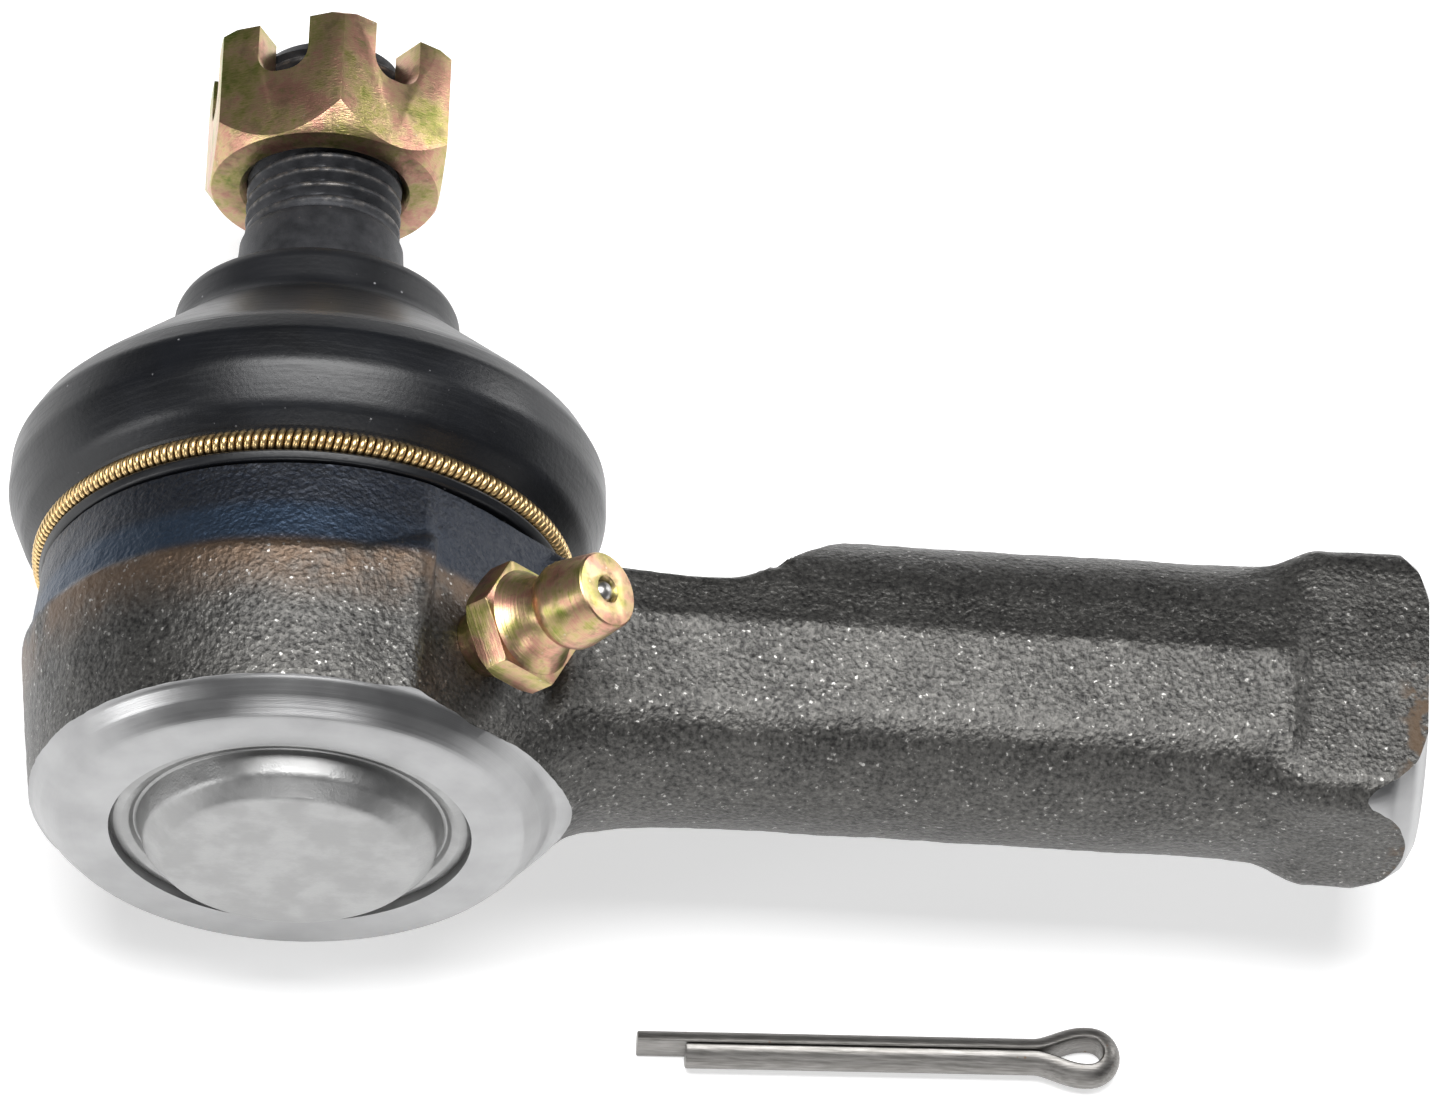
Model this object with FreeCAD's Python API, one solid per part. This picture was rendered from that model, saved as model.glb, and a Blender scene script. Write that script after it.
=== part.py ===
"""Tie rod end: a forged socket with a threaded shank, a tapered ball stud in bearing seats, a rubber
boot held by a garter spring, a castle nut, a grease fitting and a loose cotter pin. Millimetres.

The origin is the centre of the ball. +X runs along the shank, +Y along the stud and +Z is up, with
the part lying on its side. A place along the stud is a Y value, and a place along the shank an X value.
"""
import FreeCAD, Part
import math
import os

from FreeCAD import Placement, Rotation, Vector

# --- ball stud -------------------------------------------------------------------------------
BALL_R = 13.5
NECK_R = 6.1
NECK_BOTTOM_Y = 12.6
NECK_TOP_Y = 19.0
TAPER_BOTTOM_Y = 25.5
THREAD_START_Y = 42.1
TAPER_TOP_R = 7.35
TAPER_SLOPE = 1.0 / 16.0
STUD_THREAD_R = 6.95
STUD_END_Y = 60.0
STUD_CHAMFER = 1.0
COTTER_HOLE_R = 1.75
COTTER_HOLE_Y = 56.9

# --- castle nut ------------------------------------------------------------------------------
NUT_ACROSS_FLATS = 20.7
NUT_BOTTOM_Y = 47.9
NUT_HEIGHT = 12.1
NUT_BORE_R = STUD_THREAD_R + 0.08
NUT_COUNTERSINK_R = 7.7
NUT_TURN_DEG = 4.3
SLOT_WIDTH = 4.9
SLOT_DEPTH = 5.2
SLOT_CORNER_R = 2.0

# --- socket ----------------------------------------------------------------------------------
BARREL_R = 24.5
BARREL_TOP_R = 23.7
PARTING_Y = -1.8
RIM_Y = -18.2
RIM_R = 20.5
RIM_MIDDLE = (22.1, -16.4)
CHAMFER_TOP_Y = -15.0
CHAMFER_TOP_R = 23.0
PARTING_STEP = 0.25
SHOULDER_Y = 6.0
BOOT_GROOVE_R = 20.9
TOP_LIP_Y = 10.6
TOP_LIP_R = 21.8
SOCKET_TOP_Y = 12.5
MOUTH_R = 12.2
MOUTH_Y = 7.9
MOUTH_TOP_R = 14.6
CAVITY_R = 16.6
CAVITY_SHOULDER_Y = 2.5
CAP_SEAT_R = 17.5
CAP_SEAT_Y = -14.4
ROLLED_LIP_R = 16.0
ROLLED_LIP = 1.0

# --- shank -----------------------------------------------------------------------------------
SHANK_END_X = 99.4
RIDGE_Z = 10.9
LOWER_CORNER = (-9.8, 9.5)
LOWER_Y = -13.0
UPPER_CORNER = (4.7, 9.95)
UPPER_Y = 13.0
NECK_TOP = 5.3
NECK_END_X = 38.0
SWELL_END_X = 50.0
ROOT_START_X = 12.0
ROOT_END_X = 34.0
ROOT_GROWTH = 1.22
STEP_START_X = 87.7
STEP_END_X = 89.1
STEP_SHRINK = 0.9
COLLAR_LOW_Y = -13.5
COLLAR_HIGH_Y = 12.6
COLLAR_Z = 9.3
COLLAR_RIDGE_Z = 9.95
COLLAR_CORNER_R = 1.9
COLLAR_RAMP_X = 84.0
COLLAR_RAMP_SHRINK = 0.84
COLLAR_START_X = 89.0
END_PROFILE = ((11.6, 99.4), (13.4, 98.5), (14.6, 96.8), (15.4, 94.0), (17.0, 89.0))
ROD_BORE_R = 7.0
ROD_BORE_DEPTH = 48.0
ROD_BORE_CHAMFER = 1.2

# --- bearing seats, spring and end cap -------------------------------------------------------
SEAT_GAP = 0.05
SEAT_SPLIT = 0.6
UPPER_SEAT_TOP_Y = 7.4
LOWER_SEAT_BOTTOM_Y = -14.0
GREASE_WAY_R = 4.0
DISC_OUTER_R = 10.6
DISC_INNER_R = 7.0
DISC_THICKNESS = 0.9
DISC_RISE = 1.6
CAP_TOP_Y = -14.6
CAP_PLATE_Y = -17.15
CAP_DOME_R = 13.6
CAP_DOME_TOP_R = 11.0
CAP_DOME_Y = -21.1
CAP_WALL = 2.0

# --- boot ------------------------------------------------------------------------------------
GARTER_R = 23.2
GARTER_WIRE_R = 1.0
GARTER_Y = 8.3
BOOT_LIP_Y = 6.35
BOOT_SKIRT_R = 23.7
BULGE_R = 26.6
COLLAR_TOP_Y = 34.8
BOOT_COLLAR_R = 12.8
NECK_RING_INNER_R = 8.5
NECK_RING_OUTER_R = 9.5
NECK_RING_Y = (29.3, 32.7)

# --- grease fitting --------------------------------------------------------------------------
FITTING_Y = -7.3
FITTING_DEG = 46.5
SPOT_FACE_AT = 22.9
SPOT_FACE_R = 6.6
FITTING_THREAD_R = 3.0
FITTING_THREAD_START = 17.6
FITTING_HEX_AT = (25.9, 28.8)
FITTING_HEX_AF = 10.0
FITTING_TIP_AT = 37.9
FITTING_BALL_R = 1.15
FITTING_BALL_AT = 36.86
FITTING_CAGE_R = 1.22
FITTING_WAY_R = 0.7
FITTING_CAGE_START = 30.0
FITTING_SPRING_WIRE_R = 0.15

# --- cotter pin ------------------------------------------------------------------------------
TABLE_Z = -26.6
PIN_R = 1.6
PIN_START = (32.2, -24.3)
PIN_LENGTH = 43.3
PIN_SHORT_LEG = 4.3
PIN_SLIT = 0.12
PIN_YAW_DEG = 2.4
EYE_HOLE_R = 1.25

ORIGIN = Vector(0, 0, 0)
X_AXIS = Vector(1, 0, 0)
Y_AXIS = Vector(0, 1, 0)
Z_AXIS = Vector(0, 0, 1)


def save(name, shape):
    """Write one sub-part to its own STEP file."""
    shape.exportStep(f"parts/{name}.step")


def turned(outline):
    """A solid of revolution about the stud axis, from (radius, y) points."""
    points = [Vector(r, y, 0) for r, y in outline]
    wire = Part.makePolygon(points + points[:1])
    return Part.Face(wire).revolve(ORIGIN, Y_AXIS, 360)


def disc(radius, y_low, y_high):
    """A cylinder about the stud axis between two heights."""
    return Part.makeCylinder(radius, y_high - y_low, Vector(0, y_low, 0), Y_AXIS)


def taper_radius(y):
    """The stud's taper grows towards the ball by one in eight on its diameter."""
    return TAPER_TOP_R + (THREAD_START_Y - y) * TAPER_SLOPE


def circle_points(centre, radius, start_deg, end_deg, count):
    """Points along an arc in the (radius, y) plane."""
    steps = [start_deg + (end_deg - start_deg) * i / (count - 1) for i in range(count)]
    return [
        (
            centre[0] + radius * math.cos(math.radians(a)),
            centre[1] + radius * math.sin(math.radians(a)),
        )
        for a in steps
    ]


def around_stud(shape, degrees):
    """A copy turned about the stud axis, so that +Z goes towards +X."""
    copy = shape.copy()
    copy.rotate(ORIGIN, Y_AXIS, degrees)
    return copy


# --- shank and socket ------------------------------------------------------------------------


def shank_section(x, growth=1.0):
    """The forged section: drafted flats that meet at a parting ridge, and rounded upper and lower sides."""

    def at(y, z):
        return Vector(x, y * growth, z * growth)

    low_y, low_z = LOWER_CORNER
    up_y, up_z = UPPER_CORNER
    edges = [
        Part.LineSegment(at(0, RIDGE_Z), at(low_y, low_z)).toShape(),
        Part.Arc(at(low_y, low_z), at(LOWER_Y, 0), at(low_y, -low_z)).toShape(),
        Part.LineSegment(at(low_y, -low_z), at(0, -RIDGE_Z)).toShape(),
        Part.LineSegment(at(0, -RIDGE_Z), at(up_y, -up_z)).toShape(),
        Part.Arc(at(up_y, -up_z), at(UPPER_Y, 0), at(up_y, up_z)).toShape(),
        Part.LineSegment(at(up_y, up_z), at(0, RIDGE_Z)).toShape(),
    ]
    return Part.Wire(edges)


def neck_relief():
    """What is left off above the neck, so that the boot clears it, with an S-shaped swell at its end."""
    middle_x = (NECK_END_X + SWELL_END_X) / 2
    middle_y = (NECK_TOP + UPPER_Y) / 2
    depth = 2 * UPPER_Y
    rise = (middle_y - NECK_TOP) * 0.42
    run = (middle_x - NECK_END_X) * 0.62
    corners = [
        Vector(-1, NECK_TOP, -depth),
        Vector(NECK_END_X, NECK_TOP, -depth),
        Vector(middle_x, middle_y, -depth),
        Vector(SWELL_END_X, UPPER_Y, -depth),
        Vector(SWELL_END_X, 2 * UPPER_Y, -depth),
        Vector(-1, 2 * UPPER_Y, -depth),
    ]
    first_bend = Vector(NECK_END_X + run, NECK_TOP + rise, -depth)
    second_bend = Vector(SWELL_END_X - run, UPPER_Y - rise, -depth)
    edges = [
        Part.LineSegment(corners[0], corners[1]).toShape(),
        Part.Arc(corners[1], first_bend, corners[2]).toShape(),
        Part.Arc(corners[2], second_bend, corners[3]).toShape(),
        Part.LineSegment(corners[3], corners[4]).toShape(),
        Part.LineSegment(corners[4], corners[5]).toShape(),
        Part.LineSegment(corners[5], corners[0]).toShape(),
    ]
    return Part.Face(Part.Wire(edges)).extrude(Vector(0, 0, 2 * depth))


def collar_section(x, growth=1.0):
    """The wrench collar's section: a block with rounded corners and a low parting ridge on its faces."""
    corner = COLLAR_CORNER_R
    low = COLLAR_LOW_Y
    high = COLLAR_HIGH_Y
    side = COLLAR_Z
    points = [
        (0, COLLAR_RIDGE_Z),
        (low + corner, side),
        (low, side - corner),
        (low, corner - side),
        (low + corner, -side),
        (0, -COLLAR_RIDGE_Z),
        (high - corner, -side),
        (high, corner - side),
        (high, side - corner),
        (high - corner, side),
    ]
    rounded = {1, 3, 6, 8}
    bow = corner * (1 - math.sqrt(0.5))
    edges = []
    for i, (y, z) in enumerate(points):
        next_y, next_z = points[(i + 1) % len(points)]
        start = Vector(x, y * growth, z * growth)
        end = Vector(x, next_y * growth, next_z * growth)
        if i in rounded:
            out_y = low + bow if y < 0 else high - bow
            out_z = math.copysign(side - bow, z)
            edges.append(Part.Arc(start, Vector(x, out_y * growth, out_z * growth), end).toShape())
        else:
            edges.append(Part.LineSegment(start, end).toShape())
    return Part.Wire(edges)


def wrench_collar():
    """The block at the shank's end that a wrench holds, with a ramp into it and a turned end."""
    ramp_start = collar_section(COLLAR_RAMP_X, COLLAR_RAMP_SHRINK)
    block_start = collar_section(COLLAR_START_X)
    ramp = Part.makeLoft([ramp_start, block_start], True, True)
    block = Part.Face(block_start).extrude(Vector(SHANK_END_X - COLLAR_START_X, 0, 0))
    widest_r = END_PROFILE[-1][0]
    start_x = COLLAR_RAMP_X - 1
    turned_end = turned([(0, SHANK_END_X), *END_PROFILE, (widest_r, start_x), (0, start_x)])
    turned_end.rotate(ORIGIN, Z_AXIS, -90)
    return ramp.fuse(block).common(turned_end)


def shank_forging():
    """The shank from inside the barrel to the wrench collar, before it is bored."""
    body = Part.Face(shank_section(0)).extrude(Vector(STEP_START_X, 0, 0))
    root_sections = [shank_section(ROOT_START_X, ROOT_GROWTH), shank_section(ROOT_END_X)]
    root = Part.makeLoft(root_sections, True, True)
    step_sections = [shank_section(STEP_START_X), shank_section(STEP_END_X, STEP_SHRINK)]
    step = Part.makeLoft(step_sections, True, True)
    shank = body.fuse(root).cut(neck_relief())
    return shank.fuse(step).fuse(wrench_collar())


def barrel_blank():
    """The outside of the barrel, with its boot groove, its parting step and its turned lower rim."""
    edge = 0.8
    return turned(
        [
            (0, RIM_Y),
            (RIM_R, RIM_Y),
            RIM_MIDDLE,
            (CHAMFER_TOP_R, CHAMFER_TOP_Y),
            (BARREL_R, PARTING_Y - PARTING_STEP),
            (BARREL_R - PARTING_STEP, PARTING_Y),
            (BARREL_TOP_R, SHOULDER_Y - edge),
            (BARREL_TOP_R - edge, SHOULDER_Y),
            (BOOT_GROOVE_R, SHOULDER_Y),
            (BOOT_GROOVE_R, TOP_LIP_Y),
            (TOP_LIP_R, TOP_LIP_Y),
            (TOP_LIP_R, SOCKET_TOP_Y - edge),
            (TOP_LIP_R - edge, SOCKET_TOP_Y),
            (0, SOCKET_TOP_Y),
        ]
    )


def turned_rim_cut():
    """The lathe cut under the barrel, which also faces off the root of the shank to a pointed tail."""
    tail_r = 38.0
    tail_y = LOWER_Y - 0.2
    below = RIM_Y - 5
    return turned(
        [
            (RIM_R, RIM_Y),
            RIM_MIDDLE,
            (CHAMFER_TOP_R, CHAMFER_TOP_Y),
            (tail_r, tail_y),
            (tail_r, below),
            (RIM_R, below),
        ]
    )


def socket_cavity():
    """The space for the ball, its seats and the cap, open above for the stud and below for the cap."""
    return turned(
        [
            (0, RIM_Y - 1),
            (ROLLED_LIP_R, RIM_Y - 1),
            (ROLLED_LIP_R, RIM_Y + ROLLED_LIP),
            (CAP_SEAT_R, RIM_Y + ROLLED_LIP),
            (CAP_SEAT_R, CAP_SEAT_Y),
            (CAVITY_R, CAP_SEAT_Y),
            (CAVITY_R, CAVITY_SHOULDER_Y),
            (MOUTH_R + 0.6, MOUTH_Y - 0.3),
            (MOUTH_R, MOUTH_Y),
            (MOUTH_TOP_R, SOCKET_TOP_Y + 0.1),
            (0, SOCKET_TOP_Y + 0.1),
        ]
    )


def rod_bore():
    """The threaded bore for the tie rod, with a drilled point and a chamfered mouth."""
    start_x = SHANK_END_X - ROD_BORE_DEPTH
    bore = Part.makeCylinder(ROD_BORE_R, ROD_BORE_DEPTH + 1, Vector(start_x, 0, 0), X_AXIS)
    point_length = ROD_BORE_R * 0.6
    point = Part.makeCone(0, ROD_BORE_R, point_length, Vector(start_x - point_length, 0, 0), X_AXIS)
    spread = 2 * ROD_BORE_CHAMFER
    mouth_start = Vector(SHANK_END_X - ROD_BORE_CHAMFER, 0, 0)
    mouth = Part.makeCone(ROD_BORE_R, ROD_BORE_R + spread, spread, mouth_start, X_AXIS)
    return bore.fuse(point).fuse(mouth)


def socket_housing():
    """The forging: barrel and shank in one piece, turned, bored and spot-faced."""
    spot_face = along_fitting(Part.makeCylinder(SPOT_FACE_R, 12, Vector(0, 0, SPOT_FACE_AT)))
    fitting_hole = along_fitting(Part.makeCylinder(FITTING_THREAD_R, 12, Vector(0, 0, SPOT_FACE_AT - 10)))
    shank = shank_forging().cut(turned_rim_cut())
    body = barrel_blank().fuse(shank)
    for cutter in (socket_cavity(), rod_bore(), spot_face, fitting_hole):
        body = body.cut(cutter)
    return body.removeSplitter().Solids[0]


# --- grease fitting --------------------------------------------------------------------------


def along_fitting(shape):
    """Turn a shape built along +Z so that it points out of the barrel along the fitting's axis."""
    copy = shape.copy()
    copy.Placement = Placement(Vector(0, FITTING_Y, 0), Rotation(Y_AXIS, 90 - FITTING_DEG))
    return copy


def turned_z(outline):
    """A solid of revolution about +Z, from (radius, z) points."""
    points = [Vector(r, 0, z) for r, z in outline]
    return Part.Face(Part.makePolygon(points + points[:1])).revolve(ORIGIN, Z_AXIS, 360)


def hexagon(across_flats, height, z):
    """A hexagonal prism along +Z, with a corner on +X."""
    radius = across_flats / math.sqrt(3)
    turns = [math.radians(60 * i) for i in range(7)]
    points = [Vector(radius * math.cos(a), radius * math.sin(a), z) for a in turns]
    return Part.Face(Part.makePolygon(points)).extrude(Vector(0, 0, height))


def grease_fitting_body():
    """The hexagon with its cone, neck and head, and the short thread below it, all turned from one bar."""
    hex_low, hex_high = FITTING_HEX_AT
    tip = FITTING_TIP_AT
    turned_part = turned_z(
        [
            (0, FITTING_THREAD_START),
            (FITTING_THREAD_R - 0.5, FITTING_THREAD_START),
            (FITTING_THREAD_R - 0.03, FITTING_THREAD_START + 0.5),
            (FITTING_THREAD_R - 0.03, hex_low),
            (4.8, hex_low),
            (4.8, hex_high),
            (4.2, hex_high + 0.7),
            (3.7, hex_high + 1.6),
            (3.35, hex_high + 2.7),
            (3.3, hex_high + 3.2),
            (3.6, hex_high + 3.5),
            (3.95, hex_high + 4.3),
            (4.0, hex_high + 5.0),
            (3.45, tip - 0.15),
            (3.3, tip),
            (0, tip),
        ]
    )
    chamfer = turned_z(
        [
            (0, hex_low),
            (5.2, hex_low),
            (5.8, hex_low + 0.5),
            (5.8, hex_high - 0.15),
            (5.6, hex_high),
            (0, hex_high),
        ]
    )
    hex_part = hexagon(FITTING_HEX_AF, hex_high - hex_low, hex_low).common(chamfer)
    mouth_r = FITTING_BALL_R - 0.15
    passage = turned_z(
        [
            (0, FITTING_THREAD_START - 1),
            (FITTING_WAY_R, FITTING_THREAD_START - 1),
            (FITTING_WAY_R, FITTING_CAGE_START),
            (FITTING_CAGE_R, FITTING_CAGE_START),
            (FITTING_CAGE_R, FITTING_BALL_AT),
            (mouth_r, FITTING_BALL_AT + 0.62),
            (mouth_r + 0.25, tip + 0.01),
            (0, tip + 0.01),
        ]
    )
    return along_fitting(turned_part.fuse(hex_part).cut(passage).removeSplitter().Solids[0])


def grease_fitting_ball():
    """The check ball that closes the fitting's mouth."""
    return along_fitting(Part.makeSphere(FITTING_BALL_R, Vector(0, 0, FITTING_BALL_AT)))


def grease_fitting_spring():
    """The small coil spring behind the check ball."""
    wire_r = FITTING_SPRING_WIRE_R
    coil_r = FITTING_CAGE_R - wire_r - 0.12
    start_z = FITTING_CAGE_START + wire_r + 0.05
    height = FITTING_BALL_AT - FITTING_BALL_R * 0.55 - wire_r * 2 - start_z - 0.1
    path = Part.makeHelix(height / 6, height, coil_r)
    path.translate(Vector(0, 0, start_z))
    section = Part.Wire(Part.makeCircle(wire_r, Vector(coil_r, 0, start_z), Y_AXIS))
    return along_fitting(Part.Wire(path.Edges).makePipeShell([section], True, True).Solids[0])


# --- ball stud and nut -----------------------------------------------------------------------


def ball_stud():
    """The ball, its neck, the taper that locks in the steering arm, and the threaded end."""
    neck_angle = math.degrees(math.acos(NECK_R / BALL_R))
    ball = circle_points((0, 0), BALL_R, -90, neck_angle, 40)
    shoulder_r = taper_radius(TAPER_BOTTOM_Y)
    outline = ball + [
        (NECK_R, NECK_BOTTOM_Y + 0.6),
        (NECK_R, NECK_TOP_Y),
        (NECK_R + 0.5, NECK_TOP_Y + 1.8),
        (shoulder_r - 0.6, TAPER_BOTTOM_Y - 1.6),
        (shoulder_r, TAPER_BOTTOM_Y),
        (TAPER_TOP_R, THREAD_START_Y),
        (STUD_THREAD_R, THREAD_START_Y + 0.6),
        (STUD_THREAD_R, STUD_END_Y - STUD_CHAMFER),
        (STUD_THREAD_R - STUD_CHAMFER, STUD_END_Y),
        (0, STUD_END_Y),
    ]
    lowest_flat = [(0, -BALL_R), (2.0, 0.0 - math.sqrt(BALL_R ** 2 - 4.0))]
    outline = lowest_flat + [p for p in outline if p[0] > 2.0 or p[1] > 0]
    hole = Part.makeCylinder(COTTER_HOLE_R, 4 * STUD_THREAD_R, Vector(0, COTTER_HOLE_Y, -2 * STUD_THREAD_R))
    return turned(outline).cut(around_stud(hole, NUT_TURN_DEG + 90))


def nut_slot():
    """One cut right across the nut's crown, with rounded lower corners."""
    half = SLOT_WIDTH / 2
    top = NUT_BOTTOM_Y + NUT_HEIGHT
    floor = top - SLOT_DEPTH
    corner = SLOT_CORNER_R
    bow = corner * (1 - math.sqrt(0.5))

    def at(x, y):
        return Vector(x, y, -NUT_ACROSS_FLATS)

    edges = [
        Part.LineSegment(at(-half, top + 1), at(-half, floor + corner)).toShape(),
        Part.Arc(at(-half, floor + corner), at(bow - half, floor + bow), at(corner - half, floor)).toShape(),
        Part.LineSegment(at(corner - half, floor), at(half - corner, floor)).toShape(),
        Part.Arc(at(half - corner, floor), at(half - bow, floor + bow), at(half, floor + corner)).toShape(),
        Part.LineSegment(at(half, floor + corner), at(half, top + 1)).toShape(),
        Part.LineSegment(at(half, top + 1), at(-half, top + 1)).toShape(),
    ]
    return Part.Face(Part.Wire(edges)).extrude(Vector(0, 0, 2 * NUT_ACROSS_FLATS))


def castle_nut():
    """A slotted hexagon nut, chamfered below and countersunk at its mouth."""
    corner_r = NUT_ACROSS_FLATS / math.sqrt(3)
    top = NUT_BOTTOM_Y + NUT_HEIGHT
    blank = hexagon(NUT_ACROSS_FLATS, NUT_HEIGHT, -NUT_BOTTOM_Y - NUT_HEIGHT)
    blank.rotate(ORIGIN, X_AXIS, 90)
    blank.rotate(ORIGIN, Y_AXIS, 30)
    turned_envelope = turned(
        [
            (0, NUT_BOTTOM_Y),
            (corner_r - 1.7, NUT_BOTTOM_Y),
            (corner_r, NUT_BOTTOM_Y + 2.6),
            (corner_r, top - 0.5),
            (corner_r - 0.6, top),
            (0, top),
        ]
    )
    bore = turned(
        [
            (0, NUT_BOTTOM_Y - 1),
            (NUT_COUNTERSINK_R + 0.2, NUT_BOTTOM_Y - 0.2),
            (NUT_BORE_R, NUT_BOTTOM_Y + 0.7),
            (NUT_BORE_R, top + 1),
            (0, top + 1),
        ]
    )
    nut = blank.common(turned_envelope).cut(bore)
    for turn in (30, 90, 150):
        nut = nut.cut(around_stud(nut_slot(), turn))
    return around_stud(nut.removeSplitter(), NUT_TURN_DEG)


# --- what the socket holds -------------------------------------------------------------------


def seat_sphere_points(y_low, y_high):
    """Points of a seat's hollow from its low edge to its high edge, just clear of the ball."""
    radius = BALL_R + SEAT_GAP
    start = math.degrees(math.asin(y_low / radius))
    end = math.degrees(math.asin(y_high / radius))
    return circle_points((0, 0), radius, start, end, 24)


def upper_bearing_seat():
    """The hardened ring that the ball pulls against, wedged in the cavity's cone."""
    outer_r = CAVITY_R - SEAT_GAP
    hollow = seat_sphere_points(SEAT_SPLIT / 2, UPPER_SEAT_TOP_Y)
    edge_r = hollow[-1][0] + 0.9
    outside = [(edge_r, UPPER_SEAT_TOP_Y), (outer_r, CAVITY_SHOULDER_Y - 0.1), (outer_r, SEAT_SPLIT / 2)]
    return turned(hollow + outside)


def lower_bearing_seat():
    """The floating seat that the spring pushes up against the ball."""
    outer_r = CAVITY_R - SEAT_GAP
    low_y = -math.sqrt((BALL_R + SEAT_GAP) ** 2 - GREASE_WAY_R ** 2)
    hollow = seat_sphere_points(low_y, -SEAT_SPLIT / 2)
    bottom = [(outer_r, LOWER_SEAT_BOTTOM_Y), (GREASE_WAY_R, LOWER_SEAT_BOTTOM_Y)]
    return turned(hollow + [(outer_r, -SEAT_SPLIT / 2)] + bottom)


def preload_spring():
    """A disc spring between the lower seat and the end cap."""
    low_y = LOWER_SEAT_BOTTOM_Y - SEAT_GAP - DISC_RISE - DISC_THICKNESS
    return turned(
        [
            (DISC_INNER_R, low_y + DISC_RISE),
            (DISC_OUTER_R, low_y),
            (DISC_OUTER_R, low_y + DISC_THICKNESS),
            (DISC_INNER_R, low_y + DISC_RISE + DISC_THICKNESS),
        ]
    )


def end_cap():
    """The pressed cover under the socket: a flat edge that the rolled lip holds, and a shallow dome."""
    edge_r = CAP_SEAT_R - SEAT_GAP
    inner_r = CAP_DOME_TOP_R - 0.2
    return turned(
        [
            (edge_r, CAP_TOP_Y),
            (edge_r, CAP_PLATE_Y),
            (CAP_DOME_R, CAP_PLATE_Y),
            (CAP_DOME_R - 0.4, CAP_PLATE_Y - 0.9),
            (CAP_DOME_TOP_R + 0.7, CAP_DOME_Y + 0.5),
            (CAP_DOME_TOP_R, CAP_DOME_Y),
            (0, CAP_DOME_Y),
            (0, CAP_DOME_Y + CAP_WALL),
            (inner_r - 1, CAP_DOME_Y + CAP_WALL),
            (inner_r, CAP_DOME_Y + CAP_WALL + 1),
            (inner_r, CAP_TOP_Y),
        ]
    )


# --- boot ------------------------------------------------------------------------------------


def boot_outline():
    """The boot's half section: the skirt in the socket's groove, the bulge, the cone and the collar."""
    fit = 0.05
    skirt_r = BOOT_GROOVE_R + 0.1
    ring_low, ring_high = NECK_RING_Y
    ring_r = NECK_RING_OUTER_R + fit
    outer = [(skirt_r, BOOT_LIP_Y), (BOOT_SKIRT_R - 0.4, BOOT_LIP_Y), (BOOT_SKIRT_R, BOOT_LIP_Y + 0.4)]
    outer += [(BOOT_SKIRT_R, 9.8), (25.3, 11.2), (26.2, 13.2), (BULGE_R, 15.6), (BULGE_R, 17.6)]
    outer += [(26.1, 19.0), (25.0, 20.3), (14.6, 29.4), (13.2, 30.6), (BOOT_COLLAR_R, 31.8)]
    outer += [(BOOT_COLLAR_R, COLLAR_TOP_Y - 0.5), (BOOT_COLLAR_R - 0.5, COLLAR_TOP_Y)]
    hug = [(taper_radius(COLLAR_TOP_Y) + fit, COLLAR_TOP_Y)]
    hug += [(taper_radius(ring_high) + fit, ring_high + fit), (ring_r, ring_high + fit)]
    hug += [(ring_r, ring_low - fit), (taper_radius(ring_low) + fit, ring_low - fit)]
    hug += [(taper_radius(26.2) + fit, 26.2), (9.5, 25.3), (12.0, 26.4)]
    inside = [(23.3, 18.5), (24.3, 17.4), (24.5, 15.8), (24.2, 14.2), (23.6, 13.4)]
    step = [(TOP_LIP_R + 0.1, SOCKET_TOP_Y), (TOP_LIP_R + 0.1, TOP_LIP_Y - 0.1), (skirt_r, TOP_LIP_Y - 0.1)]
    return outer + hug + inside + step


def dust_boot():
    """The rubber boot, with the groove that its garter spring lies in."""
    groove = Part.makeTorus(GARTER_R, GARTER_WIRE_R + 0.04, Vector(0, GARTER_Y, 0), Y_AXIS)
    return turned(boot_outline()).cut(groove)


def boot_neck_ring():
    """The steel ring in the boot's collar, which keeps it tight on the taper."""
    low, high = NECK_RING_Y
    return disc(NECK_RING_OUTER_R, low, high).cut(disc(NECK_RING_INNER_R, low - 1, high + 1))


def boot_garter_spring():
    """The closed coil round the boot's skirt, as a ring of the coil's outer size."""
    return Part.makeTorus(GARTER_R, GARTER_WIRE_R, Vector(0, GARTER_Y, 0), Y_AXIS)


# --- cotter pin ------------------------------------------------------------------------------


def cotter_pin():
    """Half-round wire folded back on itself: an eye, a long leg and a short leg, lying on the table."""
    eye_outer_r = EYE_HOLE_R + PIN_R
    eye_x = PIN_LENGTH - eye_outer_r
    legs = Part.makeCylinder(PIN_R, eye_x, ORIGIN, X_AXIS)
    slit_end = eye_x - EYE_HOLE_R * 0.6
    slit = Part.makeBox(slit_end + 1, PIN_SLIT, 4 * PIN_R, Vector(-1, -PIN_SLIT / 2, -2 * PIN_R))
    shorter = Part.makeBox(PIN_SHORT_LEG + 1, 2 * PIN_R, 4 * PIN_R, Vector(-1, -2 * PIN_R, -2 * PIN_R))
    hole = Part.makeCylinder(EYE_HOLE_R, 4 * PIN_R, Vector(eye_x, 0, -2 * PIN_R))
    low = Vector(EYE_HOLE_R, 0, -PIN_R)
    high = Vector(EYE_HOLE_R, 0, PIN_R)
    half_round = Part.Wire(
        [Part.Arc(low, Vector(eye_outer_r, 0, 0), high).toShape(), Part.LineSegment(high, low).toShape()]
    )
    eye = Part.Face(half_round).revolve(ORIGIN, Z_AXIS, 360)
    eye.translate(Vector(eye_x, 0, 0))
    pin = legs.fuse(eye).cut(hole).cut(slit).cut(shorter)
    pin.rotate(ORIGIN, Z_AXIS, PIN_YAW_DEG)
    pin.translate(Vector(PIN_START[0], PIN_START[1], TABLE_Z + PIN_R))
    return pin.Solids[0]


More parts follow.
